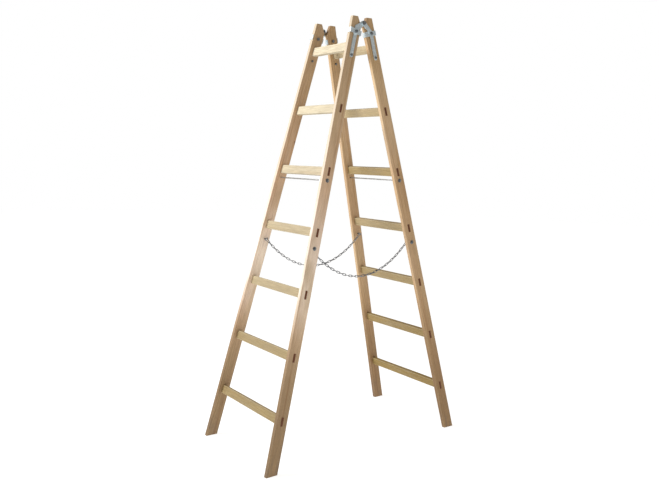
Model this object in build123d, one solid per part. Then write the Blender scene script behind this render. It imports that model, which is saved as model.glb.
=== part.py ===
from build123d import *
import math
import os

# A wooden A-frame step ladder: two climbable leaves, hinged together at the top.
# Millimetres. +Z is up, +X is the ladder's right, the front leaf stands towards -Y.
# The floor is Z = 0, and the origin is the middle of the footprint.
#
# Each leaf is drawn upright in its own axes: x across, y towards the leaf's outer side
# (away from the other leaf), z up, with z = 0 at the top. A "drop" is a distance below it.

# ---- driving dimensions ----
LEAF_LENGTH = 2042
LEAN = 14.27
TOP_OFFSET = 27
TOP_WIDTH = 296.5
FOOT_WIDTH = 572
RAIL_DEPTH = 57
RAIL_THICK = 19
RAIL_ROUND = 2.5
TOP_TRIM = 5
TOP_BEVEL_DROP = 35

RUNG_HEIGHT = 40
RUNG_THICK = 20
RUNG_ROUND = 2.5
TENON_HEIGHT = 38
TENON_THICK = 11
TENON_PROUD = 0.6
TENON_UNDER_STRAP = -0.2
JOINT_GAP = 0.1
TOP_RUNG_DROP = 133.5
UPPER_BAY = 288
LOWER_BAY = 275
UPPER_BAYS = 2
RUNG_COUNT = 7

PIVOT_DROP = 23
STRAP_THICK = 4
STRAP_WIDTH = 18
STRAP_END_DROP = 186
BAND_THICK = 3
BAND_WIDTH = 22
BAND_LEG = 18
BAND_DROP = 67
STRAP_BOLT_DROP = 175
LAP_GAP = 0.4
WASHER_GAP = 0.3
NECK_FOOT = (-14, -38)
NECK_RADIUS = 12
PLATE_MIDDLE = (-4, -47)
PLATE_RADIUS = 13
FRONT_EYE_RADIUS = 10.5
REAR_EYE_RADIUS = 10
ARM_RADIUS = 9

TIE_ROD_DROP = 750
CHAIN_DROP = 1055
CHAIN_WIRE = 3
LINK_PITCH = 19
LINK_WIDTH = 11
LINK_PLAY = 0.3
LINK_COUNT = 35
EYE_WIRE = 4
EYE_RADIUS = 8
EYE_STAND_OFF = 17

# Bolt sizes: shank radius, head across flats, head height, nut height.
M6 = {"radius": 3, "across": 10, "head": 4, "nut": 5.2}
M8 = {"radius": 4, "across": 13, "head": 5.3, "nut": 6.8}
THREAD_TAIL = 2.5
HOLE_GAP = 0.25
PIVOT_FIT = 0.08
WASHER_THICK = 1.6
WASHER_RADIUS = {"M6": 9, "M8": 8.5}

# ---- values that follow from them ----
SPLAY_RATE = (FOOT_WIDTH - TOP_WIDTH) / 2 / LEAF_LENGTH
SPLAY = math.degrees(math.atan(SPLAY_RATE))
SLANT = math.cos(math.radians(SPLAY))
LEAN_SIN = math.sin(math.radians(LEAN))
LEAN_COS = math.cos(math.radians(LEAN))
MID_HEIGHT = LEAF_LENGTH * LEAN_COS
TOTAL_HEIGHT = MID_HEIGHT + TOP_TRIM
PIVOT_HEIGHT = MID_HEIGHT - PIVOT_DROP
PIVOT_Y = -(TOP_OFFSET * LEAN_COS + PIVOT_DROP * LEAN_SIN)
PIVOT_Z = -(PIVOT_DROP * LEAN_COS - TOP_OFFSET * LEAN_SIN)
LEAVES = ("front", "rear")
SIDES = ("left", "right")


def outer_half(drop):
    """Half the leaf's width outside the rails, at this drop."""
    return TOP_WIDTH / 2 + SPLAY_RATE * drop


def inner_half(drop):
    """Half the clear width between the rails, at this drop."""
    return outer_half(drop) - RAIL_THICK / SLANT


BAND_TOP_DROP = BAND_DROP - BAND_WIDTH / 2
BAND_LOW_DROP = BAND_DROP + BAND_WIDTH / 2 + HOLE_GAP
REAR_ARM_X = outer_half(BAND_TOP_DROP) + BAND_THICK / SLANT
FRONT_HEAD_X = REAR_ARM_X - LAP_GAP - STRAP_THICK
FRONT_BEND_DROP = (FRONT_HEAD_X - TOP_WIDTH / 2) / SPLAY_RATE
CROSS_SEAT = WASHER_RADIUS["M6"] * SPLAY_RATE


# ---- placing ----
def stand(shape, leaf):
    """Leans a leaf's piece and sets it in the open ladder."""
    standing = Pos(0, TOP_OFFSET, MID_HEIGHT) * Rot(LEAN, 0, 0) * shape
    if leaf == "front":
        return Rot(0, 0, 180) * standing
    return standing


def on_side(shape, leaf, side):
    """Stands a piece that is drawn on the leaf's +x side, on the ladder's left or right."""
    drawn_side = "left" if leaf == "front" else "right"
    if side != drawn_side:
        shape = mirror(shape, about=Plane.YZ)
    return stand(shape, leaf)


def on_rail(shape):
    """Moves a piece from the rail's axes to the leaf's. The rail's outer face is x = 0 there."""
    return Pos(TOP_WIDTH / 2, 0, 0) * Rot(0, -SPLAY, 0) * shape


def both_sides(shape, leaf):
    """The same piece on both rails of a leaf, as one group."""
    return Compound(children=[on_side(shape, leaf, side) for side in SIDES])


def pointing_x(shape, x, y, z):
    """Turns a piece that is drawn along +z to point along +x, and puts its origin at x, y, z."""
    return Pos(x, y, z) * Rot(0, 90, 0) * shape


# ---- fasteners, drawn along z with the clamped face at z = 0 ----
def hexagon(size, height):
    """A hexagonal head or nut with its corners turned off at the outer end."""
    prism = extrude(RegularPolygon(size["across"] / 2, 6, major_radius=False), height)
    turned = Pos(0, 0, height / 2) * Cylinder(size["across"] * 0.575, height)
    rim = turned.edges().filter_by(GeomType.CIRCLE).sort_by(Axis.Z)[-1]
    return prism & chamfer(rim, 0.9)


def bolt(size, length):
    """A hexagon bolt: the head stands on z = 0 and the shank goes down."""
    shank = Pos(0, 0, -length / 2) * Cylinder(size["radius"], length)
    tip = shank.edges().filter_by(GeomType.CIRCLE).sort_by(Axis.Z)[0]
    return chamfer(tip, 0.6) + hexagon(size, size["head"])


def nut(size):
    """A hexagon nut standing on z = 0."""
    hole = Cylinder(size["radius"] + JOINT_GAP, 4 * size["nut"])
    return hexagon(size, size["nut"]) - hole


def washer(size, outer_radius):
    """A flat washer standing on z = 0."""
    disc = Cylinder(outer_radius, WASHER_THICK) - Cylinder(size["radius"] + HOLE_GAP, WASHER_THICK)
    return Pos(0, 0, WASHER_THICK / 2) * disc


# ---- rungs ----
def rung_drop(number):
    """Rungs are numbered up from the floor, and their bays are measured down from the top."""
    bays = RUNG_COUNT - number
    upper = min(bays, UPPER_BAYS)
    return TOP_RUNG_DROP + upper * UPPER_BAY + (bays - upper) * LOWER_BAY


def slanted_bar(half_width, drop, height, thick, extra=0):
    """A level bar whose ends follow the splay of the rails."""
    top = drop - height / 2
    low = drop + height / 2
    outline = Polygon(
        (-half_width(low) - extra, -low),
        (half_width(low) + extra, -low),
        (half_width(top) + extra, -top),
        (-half_width(top) - extra, -top),
        align=None,
    )
    return extrude(Plane.XZ * outline, thick / 2, both=True)


def rung(number):
    """A flat rung with rounded edges and a through tenon at each end, flush where a strap covers it."""
    drop = rung_drop(number)
    bar = slanted_bar(inner_half, drop, RUNG_HEIGHT, RUNG_THICK)
    bar = fillet(bar.edges().filter_by(Axis.X), RUNG_ROUND)
    past_rail = TENON_UNDER_STRAP if number == RUNG_COUNT else TENON_PROUD
    return bar + slanted_bar(outer_half, drop, TENON_HEIGHT, TENON_THICK, past_rail)


def mortises():
    """What the tenons need cut out of the rails."""
    height = TENON_HEIGHT + 2 * JOINT_GAP
    thick = TENON_THICK + 2 * JOINT_GAP
    drops = [rung_drop(number) for number in range(1, RUNG_COUNT + 1)]
    return [slanted_bar(outer_half, drop, height, thick, RAIL_THICK) for drop in drops]


# ---- rails ----
def top_bevel():
    """The wedge sawn off the rail's top on the side that faces the other leaf."""
    start = Vector(0, TOP_TRIM / LEAN_COS)
    end = Vector(-RAIL_DEPTH / 2, -TOP_BEVEL_DROP)
    past_start = start + (start - end)
    past_end = end + (end - start)
    outline = Polygon(
        (past_start.X, past_start.Y),
        (past_end.X, past_end.Y),
        (-2 * RAIL_DEPTH, past_end.Y),
        (-2 * RAIL_DEPTH, past_start.Y),
        align=None,
    )
    return extrude(Plane.YZ * outline, TOP_WIDTH, both=True)


def cross_hole(drop):
    """A hole along x for a rod or an eye bolt, with a flat seat for its washer."""
    hole = pointing_x(Cylinder(M6["radius"] + HOLE_GAP, 4 * RAIL_THICK), outer_half(drop), 0, -drop)
    seat = Pos(0, 0, RAIL_THICK / 2) * Cylinder(WASHER_RADIUS["M6"] + HOLE_GAP, RAIL_THICK)
    return hole + pointing_x(seat, outer_half(drop) - CROSS_SEAT, 0, -drop)


def face_hole(size, drop):
    """A hole square to the rail's outer face."""
    return on_rail(pointing_x(Cylinder(size["radius"] + HOLE_GAP, 4 * RAIL_THICK), 0, 0, -drop / SLANT))


def rail(leaf, side):
    """A tapered-frame side rail with its mortises and bolt holes, cut level at top and floor."""
    above = 2 * RAIL_DEPTH
    length = LEAF_LENGTH / SLANT + 2 * above
    blank = Pos(-RAIL_THICK / 2, 0, above - length / 2) * Box(RAIL_THICK, RAIL_DEPTH, length)
    blank = fillet(blank.edges().filter_by(Axis.Z), RAIL_ROUND)
    cuts = mortises() + [top_bevel(), cross_hole(TIE_ROD_DROP), cross_hole(CHAIN_DROP)]
    cuts += [face_hole(M8, BAND_DROP), face_hole(M6, STRAP_BOLT_DROP)]
    wood = on_rail(blank)
    for cut in cuts:
        wood = wood - cut
    room = Pos(0, 0, TOTAL_HEIGHT / 2) * Box(2 * FOOT_WIDTH, LEAF_LENGTH, TOTAL_HEIGHT)
    return on_side(wood, leaf, side) & room


# ---- hinge ----
def round_at(y, z, radius):
    """A circle in the leaf's y, z plane."""
    return Pos(y, z) * Circle(radius)


def hull(*circles):
    """The outline of a belt drawn round several circles."""
    edges = [edge for circle in circles for edge in circle.edges()]
    return make_hull(edges)


def strap_outline(top_drop):
    """The straight strap with its round lower end."""
    top = round_at(0, -top_drop, STRAP_WIDTH / 2)
    end = round_at(0, -STRAP_END_DROP + STRAP_WIDTH / 2, STRAP_WIDTH / 2)
    return hull(top, end)


def front_outline():
    """A neck from the pivot to a wide plate across the rail, then the strap."""
    pivot = round_at(PIVOT_Y, PIVOT_Z, FRONT_EYE_RADIUS)
    neck_foot = round_at(*NECK_FOOT, NECK_RADIUS)
    plate = round_at(*PLATE_MIDDLE, PLATE_RADIUS)
    return hull(pivot, neck_foot) + hull(neck_foot, plate) + strap_outline(BAND_TOP_DROP)


def rear_outline():
    """A slim arm from the pivot down to the band bolt, then the strap."""
    pivot = round_at(PIVOT_Y, PIVOT_Z, REAR_EYE_RADIUS)
    foot = round_at(0, -BAND_DROP + BAND_WIDTH / 4, ARM_RADIUS)
    return hull(pivot, foot) + strap_outline(BAND_DROP)


def bent_sheet(bends):
    """A sheet of strap thickness that follows these x, drop points down the leaf."""
    inner = [(x, -drop) for x, drop in bends]
    outer = [(x + STRAP_THICK, -drop) for x, drop in reversed(bends)]
    outline = Polygon(*inner, *outer, align=None)
    return extrude(Plane.XZ * outline, 2 * RAIL_DEPTH, both=True)


def front_bends():
    """Upright past the rail's top, then flat on the rail."""
    return [
        (FRONT_HEAD_X, -RAIL_DEPTH),
        (FRONT_HEAD_X, FRONT_BEND_DROP),
        (outer_half(STRAP_END_DROP), STRAP_END_DROP),
    ]


def rear_bends():
    """Upright outside the front plate, over the band, then down to the rail at its end."""
    return [
        (REAR_ARM_X, -RAIL_DEPTH),
        (REAR_ARM_X, BAND_TOP_DROP),
        (outer_half(BAND_LOW_DROP) + BAND_THICK / SLANT, BAND_LOW_DROP),
        (outer_half(STRAP_END_DROP), STRAP_END_DROP),
    ]


def rear_lift(drop):
    """How far the rear strap stands off the rail, below its band."""
    return BAND_THICK * (STRAP_END_DROP - drop) / (STRAP_END_DROP - BAND_LOW_DROP)


def hinge_strap(leaf):
    """A flat steel hinge half with its bolt holes, on the leaf's +x side."""
    outline = front_outline() if leaf == "front" else rear_outline()
    bends = front_bends() if leaf == "front" else rear_bends()
    eye_gap = HOLE_GAP if leaf == "front" else PIVOT_FIT
    plate = extrude(Plane.YZ * outline, TOP_WIDTH) & bent_sheet(bends)
    eye = Cylinder(M8["radius"] + eye_gap, 4 * RAIL_THICK)
    plate = plate - pointing_x(eye, TOP_WIDTH / 2, PIVOT_Y, PIVOT_Z)
    return plate - face_hole(M8, BAND_DROP) - face_hole(M6, STRAP_BOLT_DROP)


def hinge_band(leaf):
    """A U-shaped steel band round the rail: over the front strap, under the rear one."""
    web_x = STRAP_THICK if leaf == "front" else 0
    width = RAIL_DEPTH + 2 * BAND_THICK
    length = web_x + BAND_THICK + BAND_LEG
    centre_x = web_x + BAND_THICK - length / 2
    block = Pos(centre_x, 0, 0) * Box(length, width, BAND_WIDTH)
    block = fillet(block.edges().filter_by(Axis.Z).group_by(Axis.X)[-1], BAND_THICK)
    room = Pos(centre_x - BAND_THICK, 0, 0) * Box(length, RAIL_DEPTH, BAND_WIDTH)
    band = on_rail(Pos(0, 0, -BAND_DROP / SLANT) * (block - room))
    return band - face_hole(M8, BAND_DROP)


def face_bolt(size, drop, head_x):
    """A bolt square to the rail's outer face, with its head at head_x and its nut inside the rail."""
    length = head_x + RAIL_THICK + size["nut"] + THREAD_TAIL
    return on_rail(pointing_x(bolt(size, length), head_x, 0, -drop / SLANT))


def face_nut(size, drop):
    """The nut on the rail's inner face."""
    inward = Rot(180, 0, 0) * nut(size)
    return on_rail(pointing_x(inward, -RAIL_THICK, 0, -drop / SLANT))


def strap_bolt_seat(leaf):
    """How far the head of the lower bolt seats from the rail's outer face."""
    lift = rear_lift(STRAP_BOLT_DROP - M6["across"] * 0.6) if leaf == "rear" else 0
    return STRAP_THICK + lift


def pivot_place(shape, x, side):
    """Puts a piece of the pivot on the hinge axis of one side of the ladder."""
    placed = pointing_x(shape, x, 0, PIVOT_HEIGHT)
    return placed if side == "right" else mirror(placed, about=Plane.YZ)


def pivot_bolt(side):
    """The bolt that both hinge halves turn on."""
    head_x = REAR_ARM_X + STRAP_THICK + WASHER_GAP + WASHER_THICK
    length = head_x - FRONT_HEAD_X + M8["nut"] + THREAD_TAIL
    return pivot_place(bolt(M8, length), head_x, side)


def pivot_washer(side):
    """The washer under the pivot bolt's head."""
    seat_x = REAR_ARM_X + STRAP_THICK + WASHER_GAP
    return pivot_place(washer(M8, WASHER_RADIUS["M8"]), seat_x, side)


def pivot_nut(side):
    """The nut inside the front hinge plate."""
    return pivot_place(Rot(180, 0, 0) * nut(M8), FRONT_HEAD_X, side)


# ---- tie rods ----
def cross_seat_x(drop):
    """Where a cross fastener's washer seats on the rail."""
    return outer_half(drop) - CROSS_SEAT


def tie_rod():
    """A steel rod through both rails under a rung, threaded at its ends."""
    half = cross_seat_x(TIE_ROD_DROP) + WASHER_THICK + M6["nut"] + THREAD_TAIL
    rod = Cylinder(M6["radius"], 2 * half)
    rod = chamfer(rod.edges().filter_by(GeomType.CIRCLE), 0.6)
    return pointing_x(rod, 0, 0, -TIE_ROD_DROP)


def cross_washer(drop):
    """The washer in the seat on the rail's outer face."""
    return pointing_x(washer(M6, WASHER_RADIUS["M6"]), cross_seat_x(drop), 0, -drop)


def cross_nut(drop):
    """The nut outside that washer."""
    return pointing_x(nut(M6), cross_seat_x(drop) + WASHER_THICK, 0, -drop)


# ---- chains ----
def catenary_scale(half_span, length):
    """The catenary's scale for a chain of this length over this span, by halving."""
    low = half_span / 10
    high = half_span * 10
    for _ in range(60):
        middle = (low + high) / 2
        too_long = 2 * middle * math.sinh(half_span / middle) > length
        low, high = (middle, high) if too_long else (low, middle)
    return (low + high) / 2


CHAIN_LENGTH = LINK_PITCH + CHAIN_WIRE + (LINK_COUNT - 1) * (LINK_PITCH - LINK_PLAY)
CHAIN_X = inner_half(CHAIN_DROP) - EYE_STAND_OFF
EYE_Y = TOP_OFFSET + CHAIN_DROP * LEAN_SIN
EYE_Z = MID_HEIGHT - CHAIN_DROP * LEAN_COS
HOOK_REACH = EYE_RADIUS - EYE_WIRE / 2 - CHAIN_WIRE / 2 - LINK_PLAY


def hang():
    """The catenary's scale, its half span and its slope at the eyes."""
    slope = math.radians(45)
    for _ in range(20):
        half_span = EYE_Y - HOOK_REACH * math.cos(slope)
        scale = catenary_scale(half_span, CHAIN_LENGTH)
        slope = math.atan(math.sinh(half_span / scale))
    return scale, half_span, slope


def link():
    """One welded link, lying along y in the y, z plane."""
    bend = (LINK_WIDTH - CHAIN_WIRE) / 2
    straight = LINK_PITCH + CHAIN_WIRE - 2 * bend
    route = Plane.YZ * SlotCenterToCenter(straight, 2 * bend)
    start = Plane((0, 0, bend), z_dir=(0, 1, 0))
    return sweep(start * Circle(CHAIN_WIRE / 2), path=route.wire())


def chain(side):
    """The links of one chain, hanging between its two eyes, each turned across the last."""
    scale, half_span, slope = hang()
    end_z = EYE_Z - HOOK_REACH * math.sin(slope)
    single = link()
    links = []
    for number in range(LINK_COUNT):
        along = (LINK_PITCH + CHAIN_WIRE) / 2 + number * (LINK_PITCH - LINK_PLAY) - CHAIN_LENGTH / 2
        y = scale * math.asinh(along / scale)
        z = end_z + scale * (math.cosh(y / scale) - math.cosh(half_span / scale))
        tilt = math.degrees(math.atan(along / scale))
        turn = 90 * (number % 2)
        x = CHAIN_X if side == "right" else -CHAIN_X
        links.append(Pos(x, y, z) * Rot(tilt, 0, 0) * Rot(0, turn, 0) * single)
    return Compound(children=links)


def eye_bolt(leaf):
    """An eye bolt through the rail, its ring turned so that the chain pulls in the ring's plane."""
    slope = math.degrees(hang()[2])
    reach = cross_seat_x(CHAIN_DROP) + WASHER_THICK + M6["nut"] + THREAD_TAIL
    shank_length = reach - CHAIN_X - EYE_RADIUS
    shank = Pos(0, 0, EYE_RADIUS + shank_length / 2) * Cylinder(M6["radius"], shank_length)
    ring = Rot(90, 0, 0) * Torus(EYE_RADIUS, EYE_WIRE / 2)
    drawn = pointing_x(shank + Rot(0, 0, slope) * ring, CHAIN_X, 0, 0)
    upright = Pos(0, EYE_Y, EYE_Z) * drawn
    right = upright if leaf == "rear" else mirror(upright, about=Plane.XZ)
    return Compound(children=[right, mirror(right, about=Plane.YZ)])


# ---- the nodes ----
def leaf_nodes(leaf):
    """Every piece of one leaf, by name."""
    nodes = {}
    for side in SIDES:
        nodes[f"{leaf}_{side}_rail"] = rail(leaf, side)
        nodes[f"{leaf}_{side}_hinge_strap"] = on_side(hinge_strap(leaf), leaf, side)
        nodes[f"{leaf}_{side}_hinge_band"] = on_side(hinge_band(leaf), leaf, side)
    for number in range(1, RUNG_COUNT + 1):
        nodes[f"{leaf}_rung_{number}"] = stand(rung(number), leaf)
    web_top = STRAP_THICK + BAND_THICK
    nodes[f"{leaf}_band_bolts"] = both_sides(face_bolt(M8, BAND_DROP, web_top), leaf)
    nodes[f"{leaf}_band_nuts"] = both_sides(face_nut(M8, BAND_DROP), leaf)
    strap_bolt = face_bolt(M6, STRAP_BOLT_DROP, strap_bolt_seat(leaf))
    nodes[f"{leaf}_strap_bolts"] = both_sides(strap_bolt, leaf)
    nodes[f"{leaf}_strap_nuts"] = both_sides(face_nut(M6, STRAP_BOLT_DROP), leaf)
    nodes[f"{leaf}_tie_rod"] = stand(tie_rod(), leaf)
    nodes[f"{leaf}_tie_rod_washers"] = both_sides(cross_washer(TIE_ROD_DROP), leaf)
    nodes[f"{leaf}_tie_rod_nuts"] = both_sides(cross_nut(TIE_ROD_DROP), leaf)
    nodes[f"{leaf}_chain_eyes"] = eye_bolt(leaf)
    nodes[f"{leaf}_chain_washers"] = both_sides(cross_washer(CHAIN_DROP), leaf)
    nodes[f"{leaf}_chain_nuts"] = both_sides(cross_nut(CHAIN_DROP), leaf)
    return nodes


def shared_nodes():
    """The pivots and chains that join the leaves, by name."""
    nodes = {f"{side}_pivot_bolt": pivot_bolt(side) for side in SIDES}
    nodes["pivot_washers"] = Compound(children=[pivot_washer(side) for side in SIDES])
    nodes["pivot_nuts"] = Compound(children=[pivot_nut(side) for side in SIDES])
    for side in SIDES:
        nodes[f"{side}_chain"] = chain(side)
    return nodes


os.makedirs("parts", exist_ok=True)
all_nodes = {**leaf_nodes("front"), **leaf_nodes("rear"), **shared_nodes()}
for name, shape in all_nodes.items():
    export_step(shape, f"parts/{name}.step")
print(f"{len(all_nodes)} nodes, pivot height {PIVOT_HEIGHT:.1f}, chain {CHAIN_LENGTH:.1f} long")
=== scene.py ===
# %% [markdown]
# # A wooden step ladder
# The ladder is two leaves of pine, hinged at the top with bolted steel straps. The bench work is
# already done: every rail, rung, strap, bolt and chain has its size and place in the CAD frame.
# This notebook dresses that frame. The boards and the chains are made again here as finer meshes,
# and the steel fittings keep their CAD shape and get a proper finish.

# %% Open the frame
import bpy
import bmesh
import math
from mathutils import Matrix, Vector, noise


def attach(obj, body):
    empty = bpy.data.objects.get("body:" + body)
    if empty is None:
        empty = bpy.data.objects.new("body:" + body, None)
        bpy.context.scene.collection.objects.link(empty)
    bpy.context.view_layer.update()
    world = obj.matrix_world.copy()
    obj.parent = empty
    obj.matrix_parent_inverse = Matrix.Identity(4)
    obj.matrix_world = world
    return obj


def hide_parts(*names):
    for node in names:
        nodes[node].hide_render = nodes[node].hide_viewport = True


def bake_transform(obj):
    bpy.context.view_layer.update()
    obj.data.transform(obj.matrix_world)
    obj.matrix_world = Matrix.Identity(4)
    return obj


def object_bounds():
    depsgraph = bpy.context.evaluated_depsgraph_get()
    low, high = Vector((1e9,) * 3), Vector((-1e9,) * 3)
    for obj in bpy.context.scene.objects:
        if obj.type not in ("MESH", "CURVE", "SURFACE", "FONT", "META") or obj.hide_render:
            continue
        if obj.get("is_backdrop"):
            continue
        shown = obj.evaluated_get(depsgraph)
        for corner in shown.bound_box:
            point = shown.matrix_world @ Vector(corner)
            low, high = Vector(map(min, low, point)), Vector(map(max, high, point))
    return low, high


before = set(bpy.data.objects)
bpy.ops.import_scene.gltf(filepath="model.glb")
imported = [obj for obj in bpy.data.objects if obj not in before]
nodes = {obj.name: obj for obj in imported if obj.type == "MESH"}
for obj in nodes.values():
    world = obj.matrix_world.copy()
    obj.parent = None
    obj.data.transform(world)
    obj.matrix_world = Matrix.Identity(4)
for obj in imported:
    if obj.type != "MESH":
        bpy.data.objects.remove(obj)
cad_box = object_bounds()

print("nodes in the frame:", len(nodes))
print("the frame's box:", [round(v, 4) for v in cad_box[1] - cad_box[0]])

# %% [markdown]
# A ladder is easiest to think of one leaf at a time. Each leaf is drawn upright in its own axes:
# x across, y towards the side that a climber stands on, z up, with 0 at the top. Leaning it and
# setting it beside its twin is then a single matrix, so a board never needs its corners worked
# out in the open ladder.

# %% The ladder's driving sizes, in metres
MM = 0.001
LEAF_LENGTH = 2042 * MM
LEAN = math.radians(14.27)
TOP_OFFSET = 27 * MM
TOP_WIDTH = 296.5 * MM
FOOT_WIDTH = 572 * MM
TOP_TRIM = 5 * MM
RAIL_DEPTH = 57 * MM
RAIL_THICK = 19 * MM
RUNG_HEIGHT = 40 * MM
RUNG_THICK = 20 * MM
TENON_HEIGHT = 38 * MM
TENON_THICK = 11 * MM
RUNG_COUNT = 7
TOP_RUNG_DROP = 133.5 * MM
UPPER_BAY = 288 * MM
LOWER_BAY = 275 * MM
UPPER_BAYS = 2
SPLAY_RATE = (FOOT_WIDTH - TOP_WIDTH) / 2 / LEAF_LENGTH
SPLAY = math.atan(SPLAY_RATE)
MID_HEIGHT = LEAF_LENGTH * math.cos(LEAN)
LEAVES = ("front", "rear")
SIDES = ("left", "right")


def leaf_axes(leaf):
    """The matrix that leans a leaf and sets it in the open ladder."""
    rear = Matrix.Translation((0, TOP_OFFSET, MID_HEIGHT)) @ Matrix.Rotation(LEAN, 4, "X")
    return Matrix.Rotation(math.pi, 4, "Z") @ rear if leaf == "front" else rear


def outer_half(drop):
    """Half the width outside the rails, this far below the top."""
    return TOP_WIDTH / 2 + SPLAY_RATE * drop


def inner_half(drop):
    """Half the clear width between the rails."""
    return outer_half(drop) - RAIL_THICK / math.cos(SPLAY)


def rung_drop(number):
    """Rungs count up from the floor. The bays at the top are a little taller."""
    bays = RUNG_COUNT - number
    upper = min(bays, UPPER_BAYS)
    return TOP_RUNG_DROP + UPPER_BAY * upper + LOWER_BAY * (bays - upper)


print("splay of each rail:", round(math.degrees(SPLAY), 2), "degrees")
print("rung drops:", [round(rung_drop(n), 4) for n in range(1, RUNG_COUNT + 1)])

# %% [markdown]
# Every board starts as the same thing: a rectangle with softened corners, repeated at stations
# along a length and skinned. A plain box with a bevel would be quicker, but real ladder wood has
# been handled for years. Its arrises are rounder in one place than another, and its faces are
# never dead flat. A loft lets each station be a hair different, which is what the light picks up.

# %% A rounded rectangle that can be lofted
CORNER_STEPS = 4


def section(wide, deep, radius):
    """Points round a rectangle with round corners, starting at its +, + corner."""
    points = []
    for corner in range(4):
        turn = corner * math.pi / 2
        sign_a = 1 if corner in (0, 3) else -1
        sign_b = 1 if corner in (0, 1) else -1
        for step in range(CORNER_STEPS):
            angle = turn + step / (CORNER_STEPS - 1) * math.pi / 2
            a = sign_a * (wide / 2 - radius) + radius * math.cos(angle)
            b = sign_b * (deep / 2 - radius) + radius * math.sin(angle)
            points.append((a, b))
    return points


def skin(bm, rings):
    """Joins rings of vertices into a closed board."""
    for low, high in zip(rings, rings[1:]):
        for i in range(len(low)):
            j = (i + 1) % len(low)
            bm.faces.new((low[i], low[j], high[j], high[i]))
    bm.faces.new(rings[0])
    bm.faces.new(rings[-1])
    bmesh.ops.recalc_face_normals(bm, faces=bm.faces)


print("points round a board:", len(section(RAIL_THICK, RAIL_DEPTH, 0.0025)))

# %% [markdown]
# Wear comes from smooth noise, read at each station. One value moves the faces in and out by a
# few tenths of a millimetre, and another changes how round the arrises are. The noise takes a
# seed from the board's name, so every board is different and every run gives the same ladder.

# %% Wear along a board
def seed_of(name):
    """A number that belongs to this name, the same on every run."""
    return sum((i + 1) * ord(c) for i, c in enumerate(name)) % 997 * 0.37


def wear(seed, along, lane):
    """Smooth noise along a board, about -1 to 1."""
    return noise.noise(Vector((along * 5.0, seed, lane * 7.3)))


def worn_section(wide, deep, radius, seed, along):
    """A section with its corners and faces slightly worn at this place on the board."""
    round_here = radius * (1.0 + 0.45 * wear(seed, along, 1))
    wide_here = wide - 0.0004 * (1 + wear(seed, along, 2))
    deep_here = deep - 0.0005 * (1 + wear(seed, along, 3))
    shift = 0.00025 * wear(seed, along * 2.5, 4)
    return [(a + shift, b - shift) for a, b in section(wide_here, deep_here, round_here)]


def new_piece(name, bm, place):
    """Makes an object of a bmesh at its place in the ladder."""
    mesh = bpy.data.meshes.new(name)
    bm.to_mesh(mesh)
    bm.free()
    piece = bpy.data.objects.new(name, mesh)
    bpy.context.collection.objects.link(piece)
    piece.matrix_world = place
    return piece


print("seed of one board:", seed_of("front_left_rail"))

# %% [markdown]
# A rail is sawn from the long blank: level at the floor, level at the top, and bevelled at the
# top on the side that faces the other leaf, so that the two clear each other at the hinge. In
# mesh work that is three cuts with a plane, each one closed with a new face. Cutting after the
# loft keeps the wear running right up to the saw marks.

# %% Sawing a blank
TOP_BEVEL_DROP = 35 * MM
STATION = 22 * MM
SPARE_LENGTH = 60 * MM
RAIL_ROUND = 2.6 * MM


def rail_axes(drawn):
    """A rail's own axes, in its leaf's. x goes through its thickness, y across its depth."""
    to_face = Matrix.Translation((drawn * TOP_WIDTH / 2, 0, 0))
    splayed = Matrix.Rotation(-drawn * SPLAY, 4, "Y")
    return to_face @ splayed @ Matrix.Translation((-drawn * RAIL_THICK / 2, 0, 0))


def saw(bm, to_rail, point, outward):
    """Cuts off everything outside a plane, given in the leaf's axes, and closes the cut."""
    everything = bm.verts[:] + bm.edges[:] + bm.faces[:]
    cut = bmesh.ops.bisect_plane(
        bm,
        geom=everything,
        dist=1e-6,
        plane_co=to_rail @ Vector(point),
        plane_no=to_rail.to_3x3() @ Vector(outward),
        clear_outer=True,
    )
    edges = [e for e in cut["geom_cut"] if isinstance(e, bmesh.types.BMEdge)]
    bmesh.ops.contextual_create(bm, geom=edges)


def rail_mesh(drawn, name):
    """A rail in its own axes, sawn to length."""
    bm = bmesh.new()
    seed = seed_of(name)
    length = LEAF_LENGTH / math.cos(SPLAY) + 2 * SPARE_LENGTH
    count = round(length / STATION)
    rings = []
    for i in range(count + 1):
        z = SPARE_LENGTH - length * i / count
        outline = worn_section(RAIL_THICK, RAIL_DEPTH, RAIL_ROUND, seed, z)
        rings.append([bm.verts.new((x, y, z)) for x, y in outline])
    skin(bm, rings)
    to_rail = rail_axes(drawn).inverted()
    level = (0, math.sin(LEAN), math.cos(LEAN))
    top = TOP_TRIM / math.cos(LEAN)
    saw(bm, to_rail, (0, 0, top), level)
    saw(bm, to_rail, (0, 0, -LEAF_LENGTH), [-v for v in level])
    saw(bm, to_rail, (0, 0, top), (0, -(TOP_BEVEL_DROP + top), RAIL_DEPTH / 2))
    return bm


def drawn_side(leaf, side):
    """+1 if this side of the ladder is the +x side of the leaf's own axes, and -1 if not."""
    return 1 if (side == "right") == (leaf == "rear") else -1


print("stations on a rail:", round(LEAF_LENGTH / STATION))

# %% [markdown]
# The rungs are tenoned right through the rails, so each rail has a row of slots. They could be
# faked with dark paint, but a real slot with a hair of clearance gives the thin shadow line that
# makes a joint look made and not drawn. The same cut takes the shallow round seats that the
# washers of the tie rod and the chain eyes sit in.

# %% Mortises and washer seats
SLOT_GAP = 0.35 * MM
CUT_PAST = 120 * MM
SEAT_CUT = 20 * MM
TIE_ROD_DROP = 750 * MM
CHAIN_DROP = 1055 * MM
SEAT_RADIUS = 9.4 * MM
SEAT_DEPTH = SEAT_RADIUS * SPLAY_RATE


def cutter_box(bm, centre, size):
    """One block to cut away."""
    made = bmesh.ops.create_cube(bm, size=1.0)["verts"]
    bmesh.ops.scale(bm, vec=size, verts=made)
    bmesh.ops.translate(bm, vec=centre, verts=made)


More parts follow.
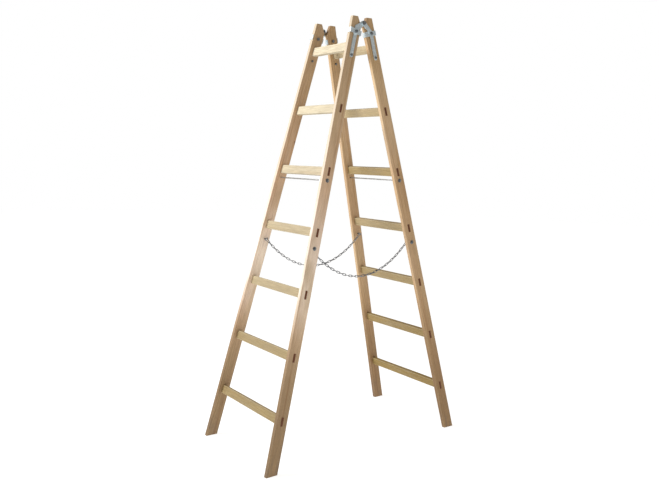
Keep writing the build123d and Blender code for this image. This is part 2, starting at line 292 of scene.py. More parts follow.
def cutter_disc(bm, centre, radius, depth):
    """One round seat to cut away, along x."""
    made = bmesh.ops.create_cone(
        bm, cap_ends=True, segments=40, radius1=radius, radius2=radius, depth=depth
    )["verts"]
    bmesh.ops.rotate(bm, cent=(0, 0, 0), matrix=Matrix.Rotation(math.pi / 2, 3, "Y"), verts=made)
    bmesh.ops.translate(bm, vec=centre, verts=made)


def rail_cutters(leaf, drawn):
    """Everything to cut out of one rail, in the leaf's axes."""
    bm = bmesh.new()
    slot = (CUT_PAST, TENON_THICK + 2 * SLOT_GAP, TENON_HEIGHT + 2 * SLOT_GAP)
    for number in range(1, RUNG_COUNT + 1):
        drop = rung_drop(number)
        cutter_box(bm, (drawn * outer_half(drop), 0, -drop), slot)
    for drop in (TIE_ROD_DROP, CHAIN_DROP):
        centre_x = drawn * (outer_half(drop) - SEAT_DEPTH + SEAT_CUT / 2)
        cutter_disc(bm, (centre_x, 0, -drop), SEAT_RADIUS, SEAT_CUT)
    return new_piece("cutters", bm, leaf_axes(leaf))


def cut(piece, cutters):
    """Takes the cutters out of a piece for good, and throws them away."""
    difference = piece.modifiers.new("cut", "BOOLEAN")
    difference.object = cutters
    difference.solver = "EXACT"
    bpy.context.view_layer.update()
    sawn = bpy.data.meshes.new_from_object(piece.evaluated_get(bpy.context.evaluated_depsgraph_get()))
    piece.modifiers.clear()
    piece.data = sawn
    bpy.data.objects.remove(cutters)


print("slot height:", round(TENON_HEIGHT / MM), "mm")

# %% [markdown]
# A wood material needs to know which way the grain runs. Painting that by hand for eighteen
# boards would be slow, so each board carries its own rulers. One says how far along, across and
# through the board a point is, from its middle. The other is the same, pushed to a random place
# in an endless log, so that one material serves every board and no two show the same figure.
# A third number is painted shade: it makes the lower rungs and the rear leaf darker and yellower.

# %% The grain rulers and the shading of a mesh
def store_vectors(piece, name, values):
    """Stores a vector on every point of a piece, for its material to read."""
    ruler = piece.data.attributes.new(name, "FLOAT_VECTOR", "POINT")
    for item, value in zip(ruler.data, values):
        item.vector = value


def rule_grain(piece, order, name, painted_shade):
    """Stores along, across and through on every point. order says which axes they are."""
    seed = seed_of(name)
    shift = (seed * 3.1, 0.06 * math.sin(seed * 5.0), 0.05 + seed % 7 * 0.013)
    own = [[vertex.co[axis] for axis in order] for vertex in piece.data.vertices]
    store_vectors(piece, "board", own)
    store_vectors(piece, "log", [[v + move for v, move in zip(point, shift)] for point in own])
    # The painted shade number: higher lower down and on the rear leaf, where the wood is painted darker as
    # painted shade.
    shade_numbers = piece.data.attributes.new("painted_shade", "FLOAT", "POINT")
    shade_numbers.data.foreach_set("value", [painted_shade] * len(own))


def mark_ends(piece, axis, squareness):
    """Sets apart the faces that look along the grain, for their own finish."""
    for face in piece.data.polygons:
        face.material_index = 1 if abs(face.normal[axis]) > squareness else 0


def smooth(piece, degrees):
    """Smooth shading that keeps edges sharper than this angle."""
    piece.data.shade_smooth()
    piece.data.set_sharp_from_angle(angle=math.radians(degrees))


def settle(piece):
    """Moves a piece's place into its mesh, as the frame's own nodes have it."""
    piece.data.transform(piece.matrix_world)
    piece.matrix_world = Matrix.Identity(4)


# Painted shade for each leaf's rails: the rear leaf's rails are painted yellower as painted shade.
RAIL_PAINTED_SHADE = {"front": 0.0, "rear": 0.8}


def make_rail(leaf, side):
    """One finished rail."""
    name = f"{leaf}_{side}_rail"
    drawn = drawn_side(leaf, side)
    place = leaf_axes(leaf) @ rail_axes(drawn)
    piece = new_piece(f"{name}_wood", rail_mesh(drawn, name), place)
    cut(piece, rail_cutters(leaf, drawn))
    rule_grain(piece, (2, 1, 0), name, RAIL_PAINTED_SHADE[leaf])
    mark_ends(piece, 2, 0.45)
    smooth(piece, 32)
    settle(piece)
    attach(piece, f"{leaf}_leaf")
    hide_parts(name)
    return piece


rails = [make_rail(leaf, side) for leaf in LEAVES for side in SIDES]
print("rails:", [(p.name, len(p.data.polygons)) for p in rails])

# %% [markdown]
# A rung is one loft as well. It starts as the thin tenon, steps out to the full bar at the
# shoulder, runs across, and steps back in. Its ends follow the splay of the rails, so each
# station near a rail is sheared by the rail's slope.

# %% Rungs
TENON_PROUD = 0.6 * MM
TENON_COVERED = -0.2 * MM
TENON_ROUND = 0.8 * MM
RUNG_ROUND = 2.8 * MM
SHOULDER_PRESS = 0.4 * MM
# Painted shade for each rung, top rung first: front rungs painted darker lower down, rear rungs darker
# still, as painted shade.
RUNG_PAINTED_SHADE = {
    "front": (0.0, 0.12, 0.22, 0.46, 0.55, 0.76, 0.83),
    "rear": (0.5, 0.68, 0.87, 0.72, 0.82, 0.94, 1.0),
}


def rung_stations(drop):
    """From one end of a rung to the other: how far out, which half width it follows, which bar."""
    inner = inner_half(drop)
    count = round(2 * inner / STATION)
    stations = [(-1, outer_half, "tenon"), (-1, inner_half, "tenon"), (-1, inner_half, "bar")]
    stations += [(-1 + 2 * i / count, inner_half, "bar") for i in range(1, count)]
    stations += [(1, inner_half, "bar"), (1, inner_half, "tenon"), (1, outer_half, "tenon")]
    return stations


def rung_mesh(number, name):
    """A rung in its own axes: x along it, y through it, z up its height."""
    bm = bmesh.new()
    drop = rung_drop(number)
    seed = seed_of(name)
    covered = number == RUNG_COUNT
    rings = []
    for share, half_width, bar in rung_stations(drop):
        if bar == "bar":
            outline = worn_section(RUNG_THICK, RUNG_HEIGHT, RUNG_ROUND, seed, share * 0.3)
            past = SHOULDER_PRESS
        else:
            outline = section(TENON_THICK, TENON_HEIGHT, TENON_ROUND)
            past = TENON_COVERED if covered else TENON_PROUD
        ring = []
        for y, z in outline:
            x = share * (half_width(drop - z) + past)
            ring.append(bm.verts.new((x, y, z)))
        rings.append(ring)
    skin(bm, rings)
    return bm


def make_rung(leaf, number):
    """One finished rung."""
    name = f"{leaf}_rung_{number}"
    place = leaf_axes(leaf) @ Matrix.Translation((0, 0, -rung_drop(number)))
    piece = new_piece(f"{name}_wood", rung_mesh(number, name), place)
    rule_grain(piece, (0, 2, 1), name, RUNG_PAINTED_SHADE[leaf][RUNG_COUNT - number])
    mark_ends(piece, 0, 0.9)
    smooth(piece, 32)
    settle(piece)
    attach(piece, f"{leaf}_leaf")
    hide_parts(name)
    return piece


rungs = [make_rung(leaf, n) for leaf in LEAVES for n in range(1, RUNG_COUNT + 1)]
print("rungs:", len(rungs), "longest", round(rungs[0].dimensions.x, 3), "m")

# %% [markdown]
# A chain that hangs between two eyes takes the curve called a catenary. Its links could be
# arrayed along a curve object, but an array needs the link count and the curve to agree. Working
# the curve out from the chain's own length is surer: each link has a known place along it.
# Links alternate by a quarter turn, as they must to pass through each other.

# %% One welded link
CHAIN_WIRE = 3 * MM
LINK_PITCH = 19 * MM
LINK_WIDTH = 11 * MM
LINK_PLAY = 0.3 * MM
LINK_COUNT = 35
EYE_STAND_OFF = 17 * MM
EYE_RADIUS = 8 * MM
EYE_WIRE = 4 * MM
HOOK_REACH = EYE_RADIUS - EYE_WIRE / 2 - CHAIN_WIRE / 2 - LINK_PLAY
WELD_SWELL = 0.10
BEND_STEPS = 10
WIRE_STEPS = 12


def link_route():
    """Points and outward directions round a link's centreline, in its y, z plane."""
    bend = (LINK_WIDTH - CHAIN_WIRE) / 2
    straight = (LINK_PITCH + CHAIN_WIRE) / 2 - bend
    route = []
    for end in (1, -1):
        for step in range(BEND_STEPS + 1):
            angle = (step / BEND_STEPS - 0.5) * math.pi + (0 if end > 0 else math.pi)
            out = Vector((0, math.cos(angle), math.sin(angle)))
            route.append((Vector((0, end * straight, 0)) + out * bend, out))
    return route


def add_link(bm, place):
    """Adds one link. The weld is a slight swelling in the middle of one long side."""
    route = link_route()
    rings = []
    for index, (centre, out) in enumerate(route):
        swell = 1.0 + (WELD_SWELL if index in (BEND_STEPS, BEND_STEPS + 1) else 0.0)
        ring = []
        for step in range(WIRE_STEPS):
            angle = step / WIRE_STEPS * 2 * math.pi
            offset = out * math.cos(angle) + Vector((math.sin(angle), 0, 0))
            ring.append(bm.verts.new(place @ (centre + offset * (CHAIN_WIRE / 2 * swell))))
        rings.append(ring)
    for low, high in zip(rings, rings[1:] + rings[:1]):
        for i in range(WIRE_STEPS):
            j = (i + 1) % WIRE_STEPS
            bm.faces.new((low[i], low[j], high[j], high[i]))


print("points round a link:", len(link_route()))

# %% [markdown]
# The scale of a catenary has no formula: it is found by halving, asking each time whether the
# curve of that scale would be longer or shorter than the chain. The slope at the eyes comes out
# of the same sum.

# %% The hanging curve
CHAIN_LENGTH = LINK_PITCH + CHAIN_WIRE + (LINK_COUNT - 1) * (LINK_PITCH - LINK_PLAY)
EYE_Y = TOP_OFFSET + CHAIN_DROP * math.sin(LEAN)
EYE_Z = MID_HEIGHT - CHAIN_DROP * math.cos(LEAN)
CHAIN_X = inner_half(CHAIN_DROP) - EYE_STAND_OFF


def catenary_scale(half_span, length):
    """The scale of the catenary of this length over this span."""
    low, high = half_span / 10, half_span * 10
    for _ in range(60):
        middle = (low + high) / 2
        if 2 * middle * math.sinh(half_span / middle) > length:
            low = middle
        else:
            high = middle
    return (low + high) / 2


def hang():
    """The scale, half span and end slope of the chain."""
    slope = math.radians(45)
    for _ in range(20):
        half_span = EYE_Y - HOOK_REACH * math.cos(slope)
        scale = catenary_scale(half_span, CHAIN_LENGTH)
        slope = math.atan(math.sinh(half_span / scale))
    return scale, half_span, slope


print("chain length:", round(CHAIN_LENGTH, 4), "m, slope at the eyes:", round(math.degrees(hang()[2]), 1))

# %% [markdown]
# Each chain is built link by link along the hanging curve, as one mesh, in the open ladder.

# %% The two chains
def make_chain(side):
    """One chain, as separate links in one mesh."""
    scale, half_span, slope = hang()
    end_z = EYE_Z - HOOK_REACH * math.sin(slope)
    x = CHAIN_X if side == "right" else -CHAIN_X
    seed = seed_of(side)
    bm = bmesh.new()
    for number in range(LINK_COUNT):
        along = (LINK_PITCH + CHAIN_WIRE) / 2 + number * (LINK_PITCH - LINK_PLAY) - CHAIN_LENGTH / 2
        y = scale * math.asinh(along / scale)
        z = end_z + scale * (math.cosh(y / scale) - math.cosh(half_span / scale))
        tilt = Matrix.Rotation(math.atan(along / scale), 4, "X")
        lazy = math.radians(5) * noise.noise(Vector((seed, number * 1.7, 0)))
        turn = Matrix.Rotation(number % 2 * math.pi / 2 + lazy, 4, "Y")
        add_link(bm, Matrix.Translation((x, y, z)) @ tilt @ turn)
    bmesh.ops.recalc_face_normals(bm, faces=bm.faces)
    piece = new_piece(f"{side}_chain_links", bm, Matrix.Identity(4))
    smooth(piece, 60)
    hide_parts(f"{side}_chain")
    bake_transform(piece)
    return piece


chains = [make_chain(side) for side in SIDES]
print("chains:", [(p.name, len(p.data.polygons)) for p in chains])

# %% [markdown]
# Materials in Blender are small machines of nodes. Building them in code gets long fast, so three
# short helpers do the wiring: one sets or links an input, one adds a sum, one adds a vector sum.
# After that each finish can be read as a recipe.

# %% Helpers that wire nodes
def put(tree, socket, value):
    """Sets an input to a value, or links another node's output to it."""
    if isinstance(value, bpy.types.NodeSocket):
        tree.links.new(value, socket)
    else:
        socket.default_value = value


def sums(tree, operation, *values):
    """One sum on numbers."""
    node = tree.nodes.new("ShaderNodeMath")
    node.operation = operation
    for socket, value in zip(node.inputs, values):
        put(tree, socket, value)
    return node.outputs[0]


def vectors(tree, operation, *values):
    """One sum on vectors. A length comes back as a number."""
    node = tree.nodes.new("ShaderNodeVectorMath")
    node.operation = operation
    for socket, value in zip(node.inputs, values):
        put(tree, socket, value)
    return node.outputs["Value" if operation in ("LENGTH", "DOT_PRODUCT") else "Vector"]


def between(tree, value, low, high, to_low=0.0, to_high=1.0):
    """Turns low..high smoothly into to_low..to_high, and holds outside it."""
    node = tree.nodes.new("ShaderNodeMapRange")
    node.interpolation_type = "SMOOTHSTEP"
    for socket, part in zip(node.inputs, (value, low, high, to_low, to_high)):
        put(tree, socket, part)
    return node.outputs[0]


def cloudy(tree, vector, stretch, detail=2.0):
    """Soft noise, 0 to 1, stretched by its own amount in each direction."""
    node = tree.nodes.new("ShaderNodeTexNoise")
    node.inputs["Scale"].default_value = 1.0
    node.inputs["Detail"].default_value = detail
    put(tree, node.inputs["Vector"], vectors(tree, "MULTIPLY", vector, stretch))
    return node.outputs["Fac"]


def blended(tree, share, under, over, how="MIX"):
    """Lays one colour over another."""
    node = tree.nodes.new("ShaderNodeMix")
    node.data_type = "RGBA"
    node.blend_type = how
    put(tree, node.inputs[0], share)
    for socket, value in ((node.inputs[6], under), (node.inputs[7], over)):
        put(tree, socket, value if isinstance(value, bpy.types.NodeSocket) else (*value, 1.0))
    return node.outputs[2]


def relief(tree, height, depth):
    """Turns a height, 0 to 1, into a bump of this depth in metres."""
    node = tree.nodes.new("ShaderNodeBump")
    node.inputs["Strength"].default_value = 1.0
    node.inputs["Distance"].default_value = depth
    put(tree, node.inputs["Height"], height)
    return node.outputs[0]


def new_finish(name):
    """An empty material, its tree and its shader."""
    finish = bpy.data.materials.new(name)
    finish.use_nodes = True
    return finish, finish.node_tree, finish.node_tree.nodes["Principled BSDF"]


print("helpers ready")

# %% [markdown]
# Softwood has three things to look at. The growth rings are circles round the middle of the tree,
# so a board cut beside it shows lines on one face and long arches on the other. That comes out of
# one number: how far a point is from the middle of the log. Knots push the rings aside. The
# fibres are a very fine streak along the board.

# %% The figure of the wood
RINGS_PER_METRE = 330.0
KNOT_CELLS = (2.1, 9.0, 9.0)
KNOT_RADIUS = 0.0075


def read_ruler(tree, name):
    """The along, across, through ruler of the board."""
    node = tree.nodes.new("ShaderNodeAttribute")
    node.attribute_name = name
    return node.outputs["Vector"]


def knots(tree, log):
    """How far a point is from the nearest knot, and the knot's radius, both in metres."""
    node = tree.nodes.new("ShaderNodeTexVoronoi")
    node.inputs["Scale"].default_value = 1.0
    put(tree, node.inputs["Vector"], vectors(tree, "MULTIPLY", log, KNOT_CELLS))
    middle = vectors(tree, "DIVIDE", node.outputs["Position"], KNOT_CELLS)
    apart = vectors(tree, "SUBTRACT", log, middle)
    apart = vectors(tree, "MULTIPLY", apart, (0.6, 1.0, 0.35))
    split = tree.nodes.new("ShaderNodeSeparateColor")
    put(tree, split.inputs[0], node.outputs["Color"])
    radius = between(tree, split.outputs[0], 0.62, 1.0, 0.0001, KNOT_RADIUS)
    return vectors(tree, "LENGTH", apart), radius


def rings(tree, log, knot_distance, knot_radius):
    """The growth rings: 0 in the pale spring wood, 1 in the dark line that ends a year."""
    from_pith = vectors(tree, "LENGTH", vectors(tree, "MULTIPLY", log, (0.0, 1.0, 1.0)))
    slow = sums(tree, "MULTIPLY", cloudy(tree, log, (1.3, 3.0, 3.0), 1.0), 0.034)
    quick = sums(tree, "MULTIPLY", cloudy(tree, log, (9.0, 30.0, 30.0), 1.0), 0.0035)
    reach = sums(tree, "DIVIDE", knot_distance, sums(tree, "MULTIPLY", knot_radius, 3.5))
    push = sums(tree, "MULTIPLY", between(tree, reach, 0.0, 1.0, 1.6, 0.0), knot_radius)
    radius = sums(tree, "ADD", sums(tree, "ADD", from_pith, slow), sums(tree, "ADD", quick, push))
    year = sums(tree, "FRACT", sums(tree, "MULTIPLY", radius, RINGS_PER_METRE))
    rise = between(tree, year, 0.25, 0.86)
    return sums(tree, "MULTIPLY", rise, between(tree, year, 0.88, 1.0, 1.0, 0.0))


print("growth rings about", round(1000 / RINGS_PER_METRE, 1), "mm apart")

# %% [markdown]
# Over the figure go the marks of use. Arrises are rubbed a little paler, hands and boots leave the
# middle of a rung darker and smoother, and the feet of the rails pick up dirt from the floor. Each
# mark reads the board's own ruler, so it falls in the right place on every board.

# %% Marks of use, and painted light and shade
def arris(tree, board, half_across, half_through):
    """1 on the board's long edges, 0 a few millimetres in from them."""
    split = tree.nodes.new("ShaderNodeSeparateXYZ")
    put(tree, split.inputs[0], vectors(tree, "ABSOLUTE", board))
    across = sums(tree, "SUBTRACT", half_across, split.outputs[1])
    through = sums(tree, "SUBTRACT", half_through, split.outputs[2])
    return between(tree, sums(tree, "MAXIMUM", across, through), 0.0005, 0.0045, 1.0, 0.0)


def along_board(tree, board):
    """The number that runs along the board."""
    split = tree.nodes.new("ShaderNodeSeparateXYZ")
    put(tree, split.inputs[0], board)
    return split.outputs[0]


def grime(tree, log, place):
    """Patchy dirt at a place on the board."""
    patches = between(tree, cloudy(tree, log, (14.0, 60.0, 60.0), 4.0), 0.38, 0.66)
    return sums(tree, "MULTIPLY", place, patches)


def read_painted_shade(tree):
    """The board's painted shade number, 0 where it is painted lightest."""
    node = tree.nodes.new("ShaderNodeAttribute")
    node.attribute_name = "painted_shade"
    return node.outputs["Fac"]


# The next four functions paint light and shade into the wood's colour: painted highlights along the rails,
# and painted shade towards the feet, lower down and on the rear leaf.
def stretch_of_rail(tree, along, foot_side, full_from, full_to, top_side):
    """1 between the two full places along a rail, fading to 0 on either side."""
    up = between(tree, along, foot_side, full_from)
    down = between(tree, along, full_to, top_side, 1.0, 0.0)
    return sums(tree, "MULTIPLY", up, down)


def narrow_face_light(tree, board, along, light_share):
    """How far a narrow face is painted pale as painted highlight, and how far its low end is painted
    darker as painted shade.
    """
    split = tree.nodes.new("ShaderNodeSeparateXYZ")
    put(tree, split.inputs[0], vectors(tree, "ABSOLUTE", board))
    narrow = between(tree, split.outputs[1], RAIL_DEPTH / 2 - 0.0016, RAIL_DEPTH / 2 - 0.0008)
    upper = between(tree, along, -1.5, -0.4, 0.25, 1.0)
    low = sums(tree, "MULTIPLY", narrow, between(tree, along, -1.6, -1.2, 1.0, 0.0))
    share = sums(tree, "MULTIPLY", narrow, sums(tree, "MULTIPLY", upper, light_share))
    return sums(tree, "MULTIPLY", share, 0.75), low


def rail_painted_light(tree, board, log, colour):
    """Paints light and shade on a rail: a pale narrow face and pale lengths as painted highlight, a
    yellower rear rail and a darker foot as painted shade.
    """
    along = along_board(tree, board)
    shade_share = read_painted_shade(tree)
    light_share = sums(tree, "SUBTRACT", 1.0, shade_share)
    # Painted highlight on the narrow face that faces the light, strongest high up, with painted shade at
    # its low end.
    narrow_highlight, narrow_low_shade = narrow_face_light(tree, board, along, light_share)
    colour = blended(tree, narrow_highlight, colour, (0.60, 0.51, 0.38))
    colour = blended(tree, narrow_low_shade, colour, (0.72, 0.68, 0.62), "MULTIPLY")
    patchy = between(tree, cloudy(tree, log, (5.0, 20.0, 20.0), 2.0), 0.25, 0.6, 0.45, 1.0)
    # Painted highlights: paler lengths of a rail's face, standing in for a sheen of light on it.
    painted_highlights = (
        ((-1.70, -1.30, -0.90, -0.10), light_share, (1.40, 1.40, 1.60)),
        ((-1.50, -1.20, -1.15, -0.75), light_share, (1.35, 1.60, 2.00)),
        ((-0.85, -0.50, -0.30, -0.16), shade_share, (1.25, 1.36, 1.55)),
    )
    for places, whose, highlight in painted_highlights:
        share = sums(tree, "MULTIPLY", stretch_of_rail(tree, along, *places), whose)
        colour = blended(tree, sums(tree, "MULTIPLY", share, patchy), colour, highlight, "MULTIPLY")
    # Painted shade: the rear leaf's rails are painted yellower and darker.
    colour = blended(tree, shade_share, colour, (1.0, 0.92, 0.80), "MULTIPLY")
    # Painted shade: every rail is painted darker towards the foot.
    foot = between(tree, along, -1.95, -1.25, 1.0, 0.0)
    return blended(tree, foot, colour, (0.66, 0.61, 0.55), "MULTIPLY")


def rung_painted_shade(tree, board, log, colour):
    """Paints a rung from cream towards a dull yellow by its painted shade number, as painted shade."""
    return blended(tree, read_painted_shade(tree), colour, (0.48, 0.37, 0.165), "MULTIPLY")


def near_feet(tree, board):
    """The lowest hand's breadth of a rail."""
    return between(tree, along_board(tree, board), -LEAF_LENGTH, -LEAF_LENGTH + 0.16, 1.0, 0.12)


def mid_rung(tree, board):
    """The middle of a rung, where boots land."""
    return between(tree, sums(tree, "ABSOLUTE", along_board(tree, board)), 0.03, 0.16, 0.7, 0.1)


print("marks of use: weather, grime, worn arrises")

# %% [markdown]
# Now the whole recipe for wood, from the bottom coat up: spring and autumn wood, a slow warm tint, long
# brown streaks, fibres, the heart of a knot, painted light and shade, rubbed arrises, and dirt last,
# because it lies on top.

# %% The wood finishes
def tinted(tree, colour, brightness):
    """Makes a colour brighter or darker by a number."""
    grey = tree.nodes.new("ShaderNodeCombineColor")
    for socket in grey.inputs:
        put(tree, socket, brightness)
    return blended(tree, 1.0, colour, grey.outputs[0], "MULTIPLY")


def wood_finish(name, look, half_across, half_through, painted_light, dirty_place):
    """A softwood finish from its look: the colours, the strength of the figure, the roughness."""
    finish, tree, shader = new_finish(name)
    log = read_ruler(tree, "log")
    board = read_ruler(tree, "board")
    knot_distance, knot_radius = knots(tree, log)
    years = rings(tree, log, knot_distance, knot_radius)
    fibre = cloudy(tree, log, (16.0, 900.0, 900.0), 3.0)
    tint = between(tree, cloudy(tree, log, (2.6, 16.0, 16.0), 2.0), 0.34, 0.66)
    colour = blended(tree, sums(tree, "MULTIPLY", years, look["figure"]), look["pale"], look["dark"])
    colour = blended(tree, sums(tree, "MULTIPLY", tint, 0.55), colour, look["warm"])
    streak = between(tree, cloudy(tree, log, (1.3, 85.0, 85.0), 3.0), 0.52, 0.68)
    streaky = sums(tree, "MULTIPLY", streak, look["streak"])
    colour = blended(tree, streaky, colour, (0.74, 0.60, 0.46), "MULTIPLY")
    colour = tinted(tree, colour, between(tree, fibre, 0.3, 0.7, 0.78, 1.12))
    heart = between(tree, sums(tree, "DIVIDE", knot_distance, knot_radius), 0.75, 1.15, 0.85, 0.0)
    colour = blended(tree, heart, colour, look["knot"])
    # Painted light and shade, from the rail or rung recipe.
    colour = painted_light(tree, board, log, colour)
    edge = arris(tree, board, half_across, half_through)
    rubbed = sums(tree, "MULTIPLY", edge, cloudy(tree, log, (30.0, 90.0, 90.0), 2.0))
    colour = blended(tree, sums(tree, "MULTIPLY", rubbed, 0.5), colour, look["rubbed"])
    soiled = grime(tree, log, dirty_place(tree, board))
    colour = blended(tree, sums(tree, "MULTIPLY", soiled, 0.5), colour, look["dirt"])
    put(tree, shader.inputs["Base Color"], colour)
    rough = between(tree, years, 0.0, 1.0, look["rough"] + 0.08, look["rough"] - 0.06)
    polish = sums(tree, "MULTIPLY", soiled, 0.08)
    put(tree, shader.inputs["Roughness"], sums(tree, "SUBTRACT", rough, polish))
    shader.inputs["Specular IOR Level"].default_value = 0.35
    height = sums(tree, "ADD", sums(tree, "MULTIPLY", years, 0.30), sums(tree, "MULTIPLY", fibre, 0.55))
    dents = between(tree, cloudy(tree, log, (60.0, 130.0, 130.0), 2.0), 0.25, 0.45)
    height = sums(tree, "ADD", height, sums(tree, "MULTIPLY", dents, 0.5))
    put(tree, shader.inputs["Normal"], relief(tree, height, 0.0003))
    return finish


RAIL_LOOK = {
    "pale": (0.61, 0.44, 0.25),
    "dark": (0.40, 0.25, 0.115),
    "warm": (0.54, 0.36, 0.21),
    "knot": (0.19, 0.085, 0.035),
    "rubbed": (0.68, 0.53, 0.35),
    "dirt": (0.20, 0.14, 0.09),
    "figure": 0.62,
    "streak": 0.60,
    "rough": 0.55,
}
RUNG_LOOK = {
    "pale": (0.69, 0.62, 0.45),
    "dark": (0.53, 0.42, 0.265),
    "warm": (0.64, 0.555, 0.405),
    "knot": (0.34, 0.18, 0.08),
    "rubbed": (0.82, 0.76, 0.58),
    "dirt": (0.34, 0.27, 0.17),
    "figure": 0.48,
    "streak": 0.28,
    "rough": 0.60,
}
rail_finish = wood_finish("rail_wood", RAIL_LOOK, RAIL_DEPTH / 2, RAIL_THICK / 2, rail_painted_light, near_feet)
rung_finish = wood_finish("rung_wood", RUNG_LOOK, RUNG_HEIGHT / 2, RUNG_THICK / 2, rung_painted_shade, mid_rung)
print("wood finishes:", rail_finish.name, rung_finish.name)

# %% [markdown]
# Sawn ends drink oil and dirt, so they are always darker than the faces. The ends of the tenons are given
# the darkest colour on the ladder, so they show as small red-brown slots down each rail. They share one
# recipe with two sets of colours. The rings show as arcs, with pores as fine dots.

# %% End grain
def end_finish(name, light, dark):
    """Sawn end grain."""
    finish, tree, shader = new_finish(name)
    log = read_ruler(tree, "log")
    knot_distance, knot_radius = knots(tree, log)
    years = rings(tree, log, knot_distance, knot_radius)
    pores = cloudy(tree, log, (1500.0, 1500.0, 1500.0), 2.0)
    blotch = between(tree, cloudy(tree, log, (120.0, 120.0, 120.0), 3.0), 0.3, 0.7)
    colour = blended(tree, years, light, dark)
    colour = blended(tree, sums(tree, "MULTIPLY", blotch, 0.5), colour, dark)
    put(tree, shader.inputs["Base Color"], colour)
    put(tree, shader.inputs["Roughness"], between(tree, blotch, 0.0, 1.0, 0.75, 0.9))
    height = sums(tree, "ADD", pores, sums(tree, "MULTIPLY", years, 0.6))
    put(tree, shader.inputs["Normal"], relief(tree, height, 0.0003))
    return finish


rail_end = end_finish("rail_end_grain", (0.42, 0.29, 0.17), (0.24, 0.14, 0.07))
tenon_end = end_finish("tenon_end_grain", (0.20, 0.068, 0.027), (0.105, 0.036, 0.014))


for boards, faces, ends in ((rails, rail_finish, rail_end), (rungs, rung_finish, tenon_end)):
    for piece in boards:
        piece.data.materials.append(faces)
        piece.data.materials.append(ends)
print("boards finished:", len(rails) + len(rungs))

# %% [markdown]
# The steel is plain zinc-plated stock that has gone dull. Zinc never looks like one grey: it dries
# in soft patches, scratches show brighter, and rust starts as specks where the plating has worn
# through. One recipe makes all four steels, with its colour, roughness and share of rust.

# %% Steel
def steel_finish(name, colour, dark, rough, rust):
    """Dull plated steel. rust is the share of the surface with rust specks."""
    finish, tree, shader = new_finish(name)
    place = tree.nodes.new("ShaderNodeTexCoord").outputs["Object"]
    patches = between(tree, cloudy(tree, place, (85.0, 85.0, 85.0), 4.0), 0.32, 0.68)
    scratches = between(tree, cloudy(tree, place, (1400.0, 500.0, 90.0), 2.0), 0.56, 0.68)
    speckle = cloudy(tree, place, (260.0, 260.0, 260.0), 5.0)
    rusty = between(tree, speckle, 0.66 - rust, 0.72 - rust)
    tone = blended(tree, patches, colour, dark)
    tone = blended(tree, sums(tree, "MULTIPLY", scratches, 0.35), tone, [min(1, 1.5 * v) for v in colour])
    tone = blended(tree, sums(tree, "MULTIPLY", rusty, 0.85), tone, (0.17, 0.07, 0.03))
    put(tree, shader.inputs["Base Color"], tone)
    put(tree, shader.inputs["Metallic"], between(tree, rusty, 0.0, 1.0, 0.95, 0.1))
    bare = between(tree, patches, 0.0, 1.0, rough - 0.05, rough + 0.08)
    put(tree, shader.inputs["Roughness"], sums(tree, "ADD", bare, sums(tree, "MULTIPLY", rusty, 0.3)))
    raised = sums(tree, "MULTIPLY", speckle, 0.5)
    height = sums(tree, "SUBTRACT", raised, sums(tree, "MULTIPLY", scratches, 0.3))
    height = sums(tree, "ADD", height, sums(tree, "MULTIPLY", rusty, 0.6))
    put(tree, shader.inputs["Normal"], relief(tree, height, 0.00018))
    return finish


steels = {
    "hinge_steel": steel_finish("hinge_steel", (0.80, 0.90, 0.93), (0.58, 0.67, 0.71), 0.46, 0.0),
    "bolt_steel": steel_finish("bolt_steel", (0.30, 0.33, 0.35), (0.14, 0.15, 0.16), 0.38, 0.03),
    "rod_steel": steel_finish("rod_steel", (0.50, 0.50, 0.49), (0.33, 0.33, 0.32), 0.32, 0.02),
    "chain_steel": steel_finish("chain_steel", (0.33, 0.34, 0.36), (0.13, 0.14, 0.15), 0.38, 0.03),
}
for chain in chains:
    chain.data.materials.append(steels["chain_steel"])
print("steels:", list(steels))

# %% [markdown]
# The fittings keep their CAD shape. Real pressed steel has no knife edges though, so each fitting
# gets two modifiers: one welds the imported triangles into a single skin, and one rounds its
# edges by a fraction of a millimetre. Modifiers leave the CAD mesh itself as it was.

# %% The steel fittings
EDGE_ROUND = 0.0004
ROUND_FROM = math.radians(35)


def finish_fitting(node):
    """Rounds a fitting's edges and gives it the steel its slot names."""
    weld = node.modifiers.new("weld", "WELD")
    weld.merge_threshold = 1e-6
    bevel = node.modifiers.new("edges", "BEVEL")
    bevel.width = EDGE_ROUND
    bevel.segments = 2
    bevel.limit_method = "ANGLE"
    bevel.angle_limit = ROUND_FROM
    bevel.harden_normals = False
    for holder in node.material_slots:
        holder.material = steels[holder.material.name.split(".")[0]]


fittings = [n for n in nodes.values() if not n.hide_render]
for fitting in fittings:
    finish_fitting(fitting)
print("fittings:", len(fittings))

# %% [markdown]
# A plain studio: a pale floor, a pale surround, and one large soft light high on the left
# in front. The surround is white where the camera sees it and softer as a light, so the shaded
# faces of the rails keep their colour. The floor is a disc in one piece, which needs no edge.

# %% Floor and light
FLOOR_RADIUS = 14.0


def make_floor():
    """The studio floor."""
    bm = bmesh.new()
    bmesh.ops.create_circle(bm, cap_ends=True, segments=96, radius=FLOOR_RADIUS)
    floor = new_piece("floor", bm, Matrix.Translation((0, 0, -0.0008)))
    finish, tree, shader = new_finish("studio_floor")
    place = tree.nodes.new("ShaderNodeTexCoord").outputs["Object"]
    tone = blended(tree, cloudy(tree, place, (1.5, 1.5, 1.5), 2.0), (0.42, 0.42, 0.42), (0.46, 0.46, 0.46))
    put(tree, shader.inputs["Base Color"], tone)
    shader.inputs["Roughness"].default_value = 0.9
    shader.inputs["Emission Color"].default_value = (1.0, 1.0, 1.0, 1.0)
    shader.inputs["Emission Strength"].default_value = 0.84
    floor.data.materials.append(finish)
    floor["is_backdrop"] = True
    return floor


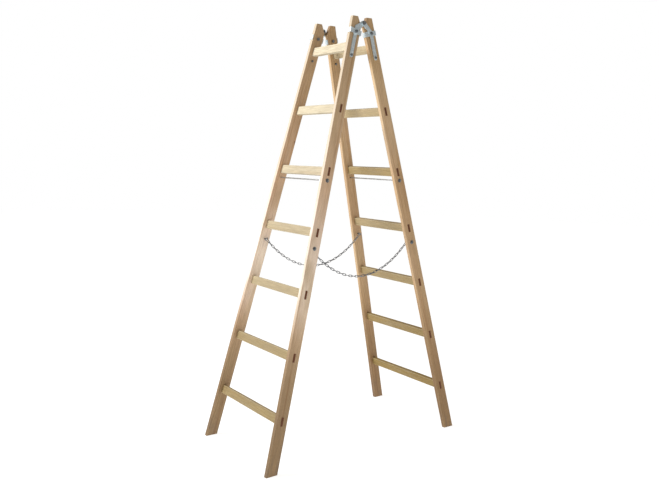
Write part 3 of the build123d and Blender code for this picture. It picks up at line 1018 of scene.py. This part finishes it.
def softbox(name, place, target, size, power, colour):
    """A square soft light at a place, turned to a target."""
    lamp = bpy.data.lights.new(name, "AREA")
    lamp.shape = "SQUARE"
    lamp.size = size
    lamp.energy = power
    lamp.color = colour
    holder = bpy.data.objects.new(name, lamp)
    bpy.context.collection.objects.link(holder)
    holder.location = place
    holder.rotation_euler = (Vector(target) - Vector(place)).to_track_quat("-Z", "Y").to_euler()
    return holder


def make_surround():
    """The pale surround: white to the eye, softer as a light."""
    world = bpy.data.worlds.new("studio")
    bpy.context.scene.world = world
    world.use_nodes = True
    tree = world.node_tree
    seen = tree.nodes.new("ShaderNodeLightPath").outputs["Is Camera Ray"]
    tone = blended(tree, seen, (0.38, 0.36, 0.34), (1.0, 1.0, 1.0))
    put(tree, tree.nodes["Background"].inputs["Color"], tone)


make_floor()
make_surround()
key = softbox("key", (-1.3, -2.6, 2.9), (0.0, -0.1, 1.7), 1.0, 112.0, (0.97, 0.98, 1.0))
bpy.context.scene.view_settings.view_transform = "Standard"
print("key light", round(key.location.length, 2), "m from the ladder's foot")

# %% [markdown]
# The camera stands to the front right, a little above the middle rung, and is tilted down and
# rolled by a degree. Its axes are built from the three turns directly, which avoids the puzzle of
# which Euler order means what.

# %% Camera
CAMERA_PLACE = Vector((2.7516, -2.0765, 1.3560))
CAMERA_YAW = 0.93469
CAMERA_PITCH = -0.12509
CAMERA_ROLL = 0.02470
CAMERA_LENS = 39.16


def camera_axes():
    """The camera's right, up and back directions."""
    forward = Vector((
        -math.sin(CAMERA_YAW) * math.cos(CAMERA_PITCH),
        math.cos(CAMERA_YAW) * math.cos(CAMERA_PITCH),
        math.sin(CAMERA_PITCH),
    ))
    level = Vector((math.cos(CAMERA_YAW), math.sin(CAMERA_YAW), 0))
    upright = level.cross(forward)
    right = math.cos(CAMERA_ROLL) * level + math.sin(CAMERA_ROLL) * upright
    up = math.cos(CAMERA_ROLL) * upright - math.sin(CAMERA_ROLL) * level
    return right, up, -forward


lens = bpy.data.cameras.new("camera")
lens.lens = CAMERA_LENS
lens.sensor_width = 36.0
camera = bpy.data.objects.new("camera", lens)
bpy.context.collection.objects.link(camera)
turned = Matrix(camera_axes()).transposed().to_4x4()
camera.matrix_world = Matrix.Translation(CAMERA_PLACE) @ turned
bpy.context.scene.camera = camera
print("camera", round(CAMERA_PLACE.length, 2), "m from the ladder's foot")

# %% [markdown]
# Last, the two boxes are measured, the frame's and the finished ladder's, and the difference of their
# sizes is printed. They should agree to within a few millimetres, because dressing a ladder doesn't change
# its size.

# %% Sizes
shown_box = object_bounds()
difference = (shown_box[1] - shown_box[0]) - (cad_box[1] - cad_box[0])
print("difference in size, mm:", [round(v / MM, 2) for v in difference])
